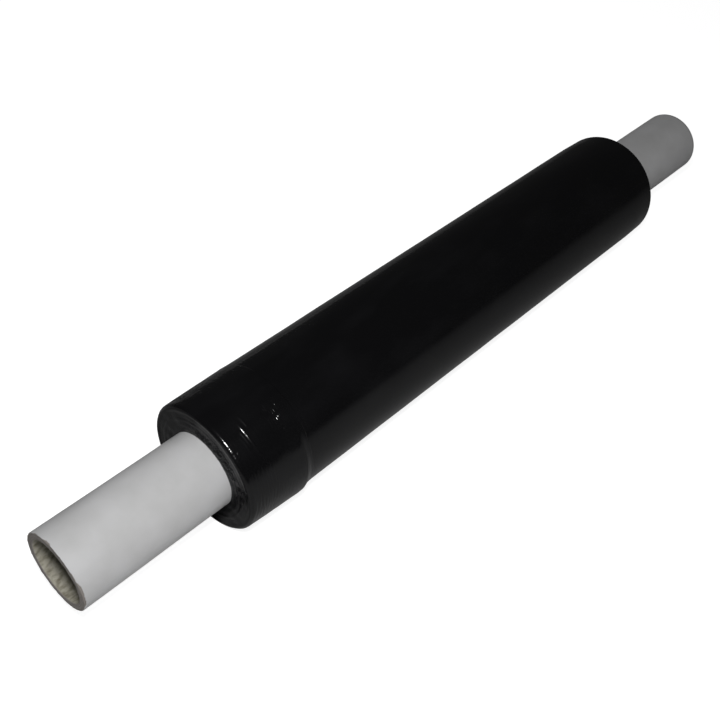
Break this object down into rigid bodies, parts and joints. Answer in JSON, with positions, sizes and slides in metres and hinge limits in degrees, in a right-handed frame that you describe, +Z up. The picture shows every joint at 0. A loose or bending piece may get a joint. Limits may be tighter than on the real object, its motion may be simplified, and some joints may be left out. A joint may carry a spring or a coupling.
{
  "type": "stretch wrap roll",
  "caption": "Long roll of black stretch film wound on a pale paperboard tube whose bare ends stand out as handles; a slack tail band circles one end.",
  "frame": {"origin": "on the floor under the middle of the tube, the roll lying on its flat spot", "axes": "+X along the tube, away from the end with the slack tail band; +Z up"},
  "size_m": [0.59, 0.0825, 0.0805],
  "materials": {
    "paperboard": "smooth pale grey wound paperboard",
    "black_film": "glossy black stretch film"
  },
  "bodies": {
    "root": {"core_tube": "paperboard", "film_roll": "black_film"}
  },
  "joints": []
}
